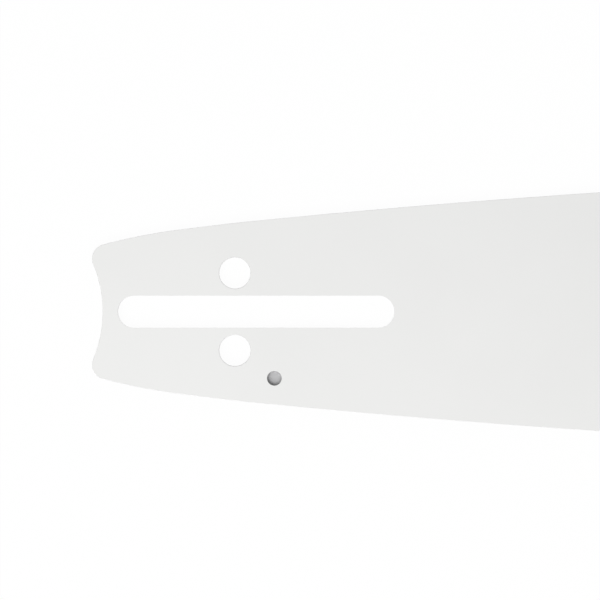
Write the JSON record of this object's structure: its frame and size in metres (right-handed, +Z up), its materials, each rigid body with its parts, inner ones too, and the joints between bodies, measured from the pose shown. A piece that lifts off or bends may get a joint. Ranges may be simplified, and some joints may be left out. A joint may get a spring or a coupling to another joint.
{
  "type": "chainsaw guide bar",
  "caption": "Flat chainsaw guide bar: plates welded into a blade with a chain groove round its edge, a slotted tail for the saw's studs and a toothed wheel in its nose.",
  "frame": {"origin": "middle of the stud slot, on the underside of the bar as it lies flat", "axes": "+Y along the bar from tail to nose, +X across it, +Z up through its thickness"},
  "size_m": [0.0728, 0.5779, 0.0041],
  "materials": {
    "plate_paint": "satin",
    "core_steel": "satin",
    "sprocket_steel": "satin",
    "bearing_steel": "polished",
    "rivet_steel": "satin"
  },
  "bodies": {
    "blade": {"upper_side_plate": "plate_paint", "lower_side_plate": "plate_paint", "core_plate": "core_steel", "bearing_race": "bearing_steel", "nose_rivets": "rivet_steel"},
    "nose_wheel": {"nose_sprocket": "sprocket_steel"},
    "roller_set": {"bearing_roller_01": "bearing_steel", "bearing_roller_02": "bearing_steel", "bearing_roller_03": "bearing_steel", "bearing_roller_04": "bearing_steel", "bearing_roller_05": "bearing_steel", "bearing_roller_06": "bearing_steel", "bearing_roller_07": "bearing_steel", "bearing_roller_08": "bearing_steel", "bearing_roller_09": "bearing_steel", "bearing_roller_10": "bearing_steel", "bearing_roller_11": "bearing_steel", "bearing_roller_12": "bearing_steel", "bearing_roller_13": "bearing_steel", "bearing_roller_14": "bearing_steel", "bearing_roller_15": "bearing_steel", "bearing_roller_16": "bearing_steel", "bearing_roller_17": "bearing_steel", "bearing_roller_18": "bearing_steel", "bearing_roller_19": "bearing_steel", "bearing_roller_20": "bearing_steel"}
  },
  "joints": [
    {"name": "nose_wheel_spin", "type": "hinge", "parent": "blade", "child": "nose_wheel", "pos_m": [0, 0.50965, 0.00208], "axis": [0, 0, 1], "continuous": true},
    {"name": "roller_set_spin", "type": "hinge", "parent": "blade", "child": "roller_set", "pos_m": [0, 0.50965, 0.00208], "axis": [0, 0, 1], "continuous": true}
  ],
  "couplings": [
    {"joint": "roller_set_spin", "follows": "nose_wheel_spin", "ratio": 0.57555}
  ]
}
